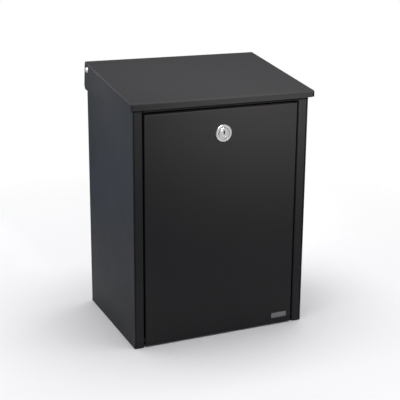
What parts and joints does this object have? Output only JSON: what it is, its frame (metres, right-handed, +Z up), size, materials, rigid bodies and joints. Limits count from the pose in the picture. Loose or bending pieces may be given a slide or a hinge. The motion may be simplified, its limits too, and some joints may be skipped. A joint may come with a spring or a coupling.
{
  "type": "parcel drop box",
  "caption": "Wall-mounted sheet-steel parcel drop box with a sloping lift-up deposit lid and a bottom-hinged front door with a round cam lock.",
  "frame": {"origin": "centre of the footprint, at the level of the underside of the floor", "axes": "+Z up, +X to the right of someone facing the door, the door faces -Y and the wall is at +Y"},
  "size_m": [0.3184, 0.23, 0.43],
  "materials": {
    "black_powder_coat": "matt, fine orange-peel powder coat",
    "zinc_plated_steel": "bright zinc plate",
    "stainless_steel": "turned",
    "blackened_steel": "blackened",
    "chrome_plate": "satin nickel-chrome plate",
    "nylon": "moulded, matt",
    "rubber": "moulded",
    "anodised_aluminium": "clear anodised, satin"
  },
  "bodies": {
    "body": {"right_side_panel": "black_powder_coat", "left_side_panel": "black_powder_coat", "back_panel": "black_powder_coat", "floor_pan": "black_powder_coat", "right_front_stile": "black_powder_coat", "left_front_stile": "black_powder_coat", "top_front_rail": "black_powder_coat", "door_stop_tabs": "black_powder_coat", "anti_theft_baffle": "black_powder_coat", "baffle_rivets": "anodised_aluminium", "lid_bumpers": "rubber", "lid_pivot_pins": "stainless_steel", "lid_pivot_spacers": "nylon", "lid_pivot_nuts": "zinc_plated_steel", "door_hinge_pins": "blackened_steel"},
    "lid": {"lid_panel": "black_powder_coat", "lid_hinge_bushes": "nylon"},
    "door": {"door_panel": "black_powder_coat", "door_hinge_bushes": "nylon", "badge_plate": "anodised_aluminium", "lock_collar": "chrome_plate", "lock_cylinder": "chrome_plate", "lock_washer": "zinc_plated_steel", "lock_nut": "zinc_plated_steel"},
    "lock": {"lock_plug": "chrome_plate", "dust_shutter": "blackened_steel", "cam_lever": "zinc_plated_steel", "cam_washer": "zinc_plated_steel", "cam_screw": "zinc_plated_steel"}
  },
  "joints": [
    {"name": "lid_hinge", "type": "hinge", "parent": "body", "child": "lid", "pos_m": [0, 0.091, 0.418], "axis": [-1, 0, 0], "range_deg": [0, 95]},
    {"name": "door_hinge", "type": "hinge", "parent": "body", "child": "door", "pos_m": [0, -0.0985, 0.011], "axis": [1, 0, 0], "range_deg": [0, 90]},
    {"name": "lock_turn", "type": "hinge", "parent": "door", "child": "lock", "pos_m": [0, -0.105, 0.34], "axis": [0, -1, 0], "range_deg": [0, 90]}
  ]
}
